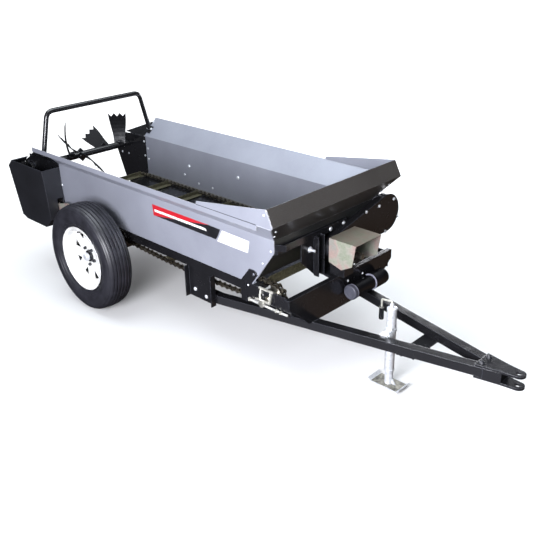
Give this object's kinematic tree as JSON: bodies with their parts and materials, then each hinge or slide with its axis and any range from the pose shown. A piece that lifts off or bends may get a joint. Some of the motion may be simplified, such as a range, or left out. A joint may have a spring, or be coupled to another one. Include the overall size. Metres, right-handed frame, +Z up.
{
  "type": "manure spreader",
  "caption": "Towed single-axle manure spreader with a flared steel box, apron conveyor, rear beater, shaft drive, drawbar and parking jack.",
  "frame": {"origin": "on the ground under the middle of the whole machine's box", "axes": "+X towards the hitch, +Y the machine's left side, +Z up"},
  "size_m": [3.7864, 1.336, 1.1405],
  "materials": {
    "grey_paint": "satin",
    "black_paint": "satin",
    "white_paint": "satin",
    "zinc_plate": "satin",
    "yellow_zinc": "satin",
    "chain_steel": "matte",
    "plastic": "matte",
    "tyre": "matte"
  },
  "bodies": {
    "frame": {"apron_conveyor": "chain_steel", "axle": "black_paint", "canister": "plastic", "chain_case": "black_paint", "conveyor_shafts": "chain_steel", "drawbar_beam_left": "black_paint", "drawbar_beam_right": "black_paint", "drawbar_brace": "black_paint", "drawbar_hangers": "black_paint", "drive_guard": "black_paint", "floor_crossmembers": "black_paint", "floor_pan": "black_paint", "front_crossmember": "black_paint", "front_hood": "grey_paint", "front_wall": "grey_paint", "gearbox": "black_paint", "gearbox_mount": "black_paint", "gearbox_shield": "yellow_zinc", "hitch_clevis": "black_paint", "jack_mount": "black_paint", "main_rail_left": "black_paint", "main_rail_right": "black_paint", "ratchet": "yellow_zinc", "rear_guard_bar": "black_paint", "rear_plate_left": "black_paint", "rear_plate_right": "black_paint", "shaft_bearings": "black_paint", "side_drive": "black_paint", "side_panel_left": "grey_paint", "side_panel_right": "grey_paint", "takeup_blocks": "zinc_plate", "takeup_plates": "black_paint", "wing_left": "grey_paint", "wing_right": "grey_paint"},
    "wheel_left": {"tyre_left": "tyre", "rim_left": "white_paint", "hub_left": "black_paint"},
    "wheel_right": {"tyre_right": "tyre", "rim_right": "white_paint", "hub_right": "black_paint"},
    "beater": {"beater": "black_paint"},
    "pto_stub": {"pto_stub": "chain_steel"},
    "jack": {"jack_tube": "zinc_plate", "jack_crank": "zinc_plate"},
    "jack_leg": {"jack_leg": "zinc_plate"}
  },
  "joints": [
    {"name": "wheel_left_spin", "type": "hinge", "parent": "frame", "child": "wheel_left", "pos_m": [-0.72878, 0.584, 0.345], "axis": [0, 1, 0], "continuous": true},
    {"name": "wheel_right_spin", "type": "hinge", "parent": "frame", "child": "wheel_right", "pos_m": [-0.72878, -0.584, 0.345], "axis": [0, 1, 0], "continuous": true},
    {"name": "beater_spin", "type": "hinge", "parent": "frame", "child": "beater", "pos_m": [-1.64378, 0, 0.7], "axis": [0, 1, 0], "continuous": true},
    {"name": "pto_spin", "type": "hinge", "parent": "frame", "child": "pto_stub", "pos_m": [0.92422, 0, 0.64], "axis": [1, 0, 0], "continuous": true},
    {"name": "jack_swivel", "type": "hinge", "parent": "frame", "child": "jack", "pos_m": [1.19622, -0.058, 0.303], "axis": [0, 1, 0], "range_deg": [0, 90]},
    {"name": "jack_extend", "type": "slide", "parent": "jack", "child": "jack_leg", "axis": [0, 0, 1], "range_m": [-0.25, 0.045]}
  ],
  "couplings": [
    {"joint": "pto_spin", "follows": "beater_spin", "ratio": 1}
  ]
}
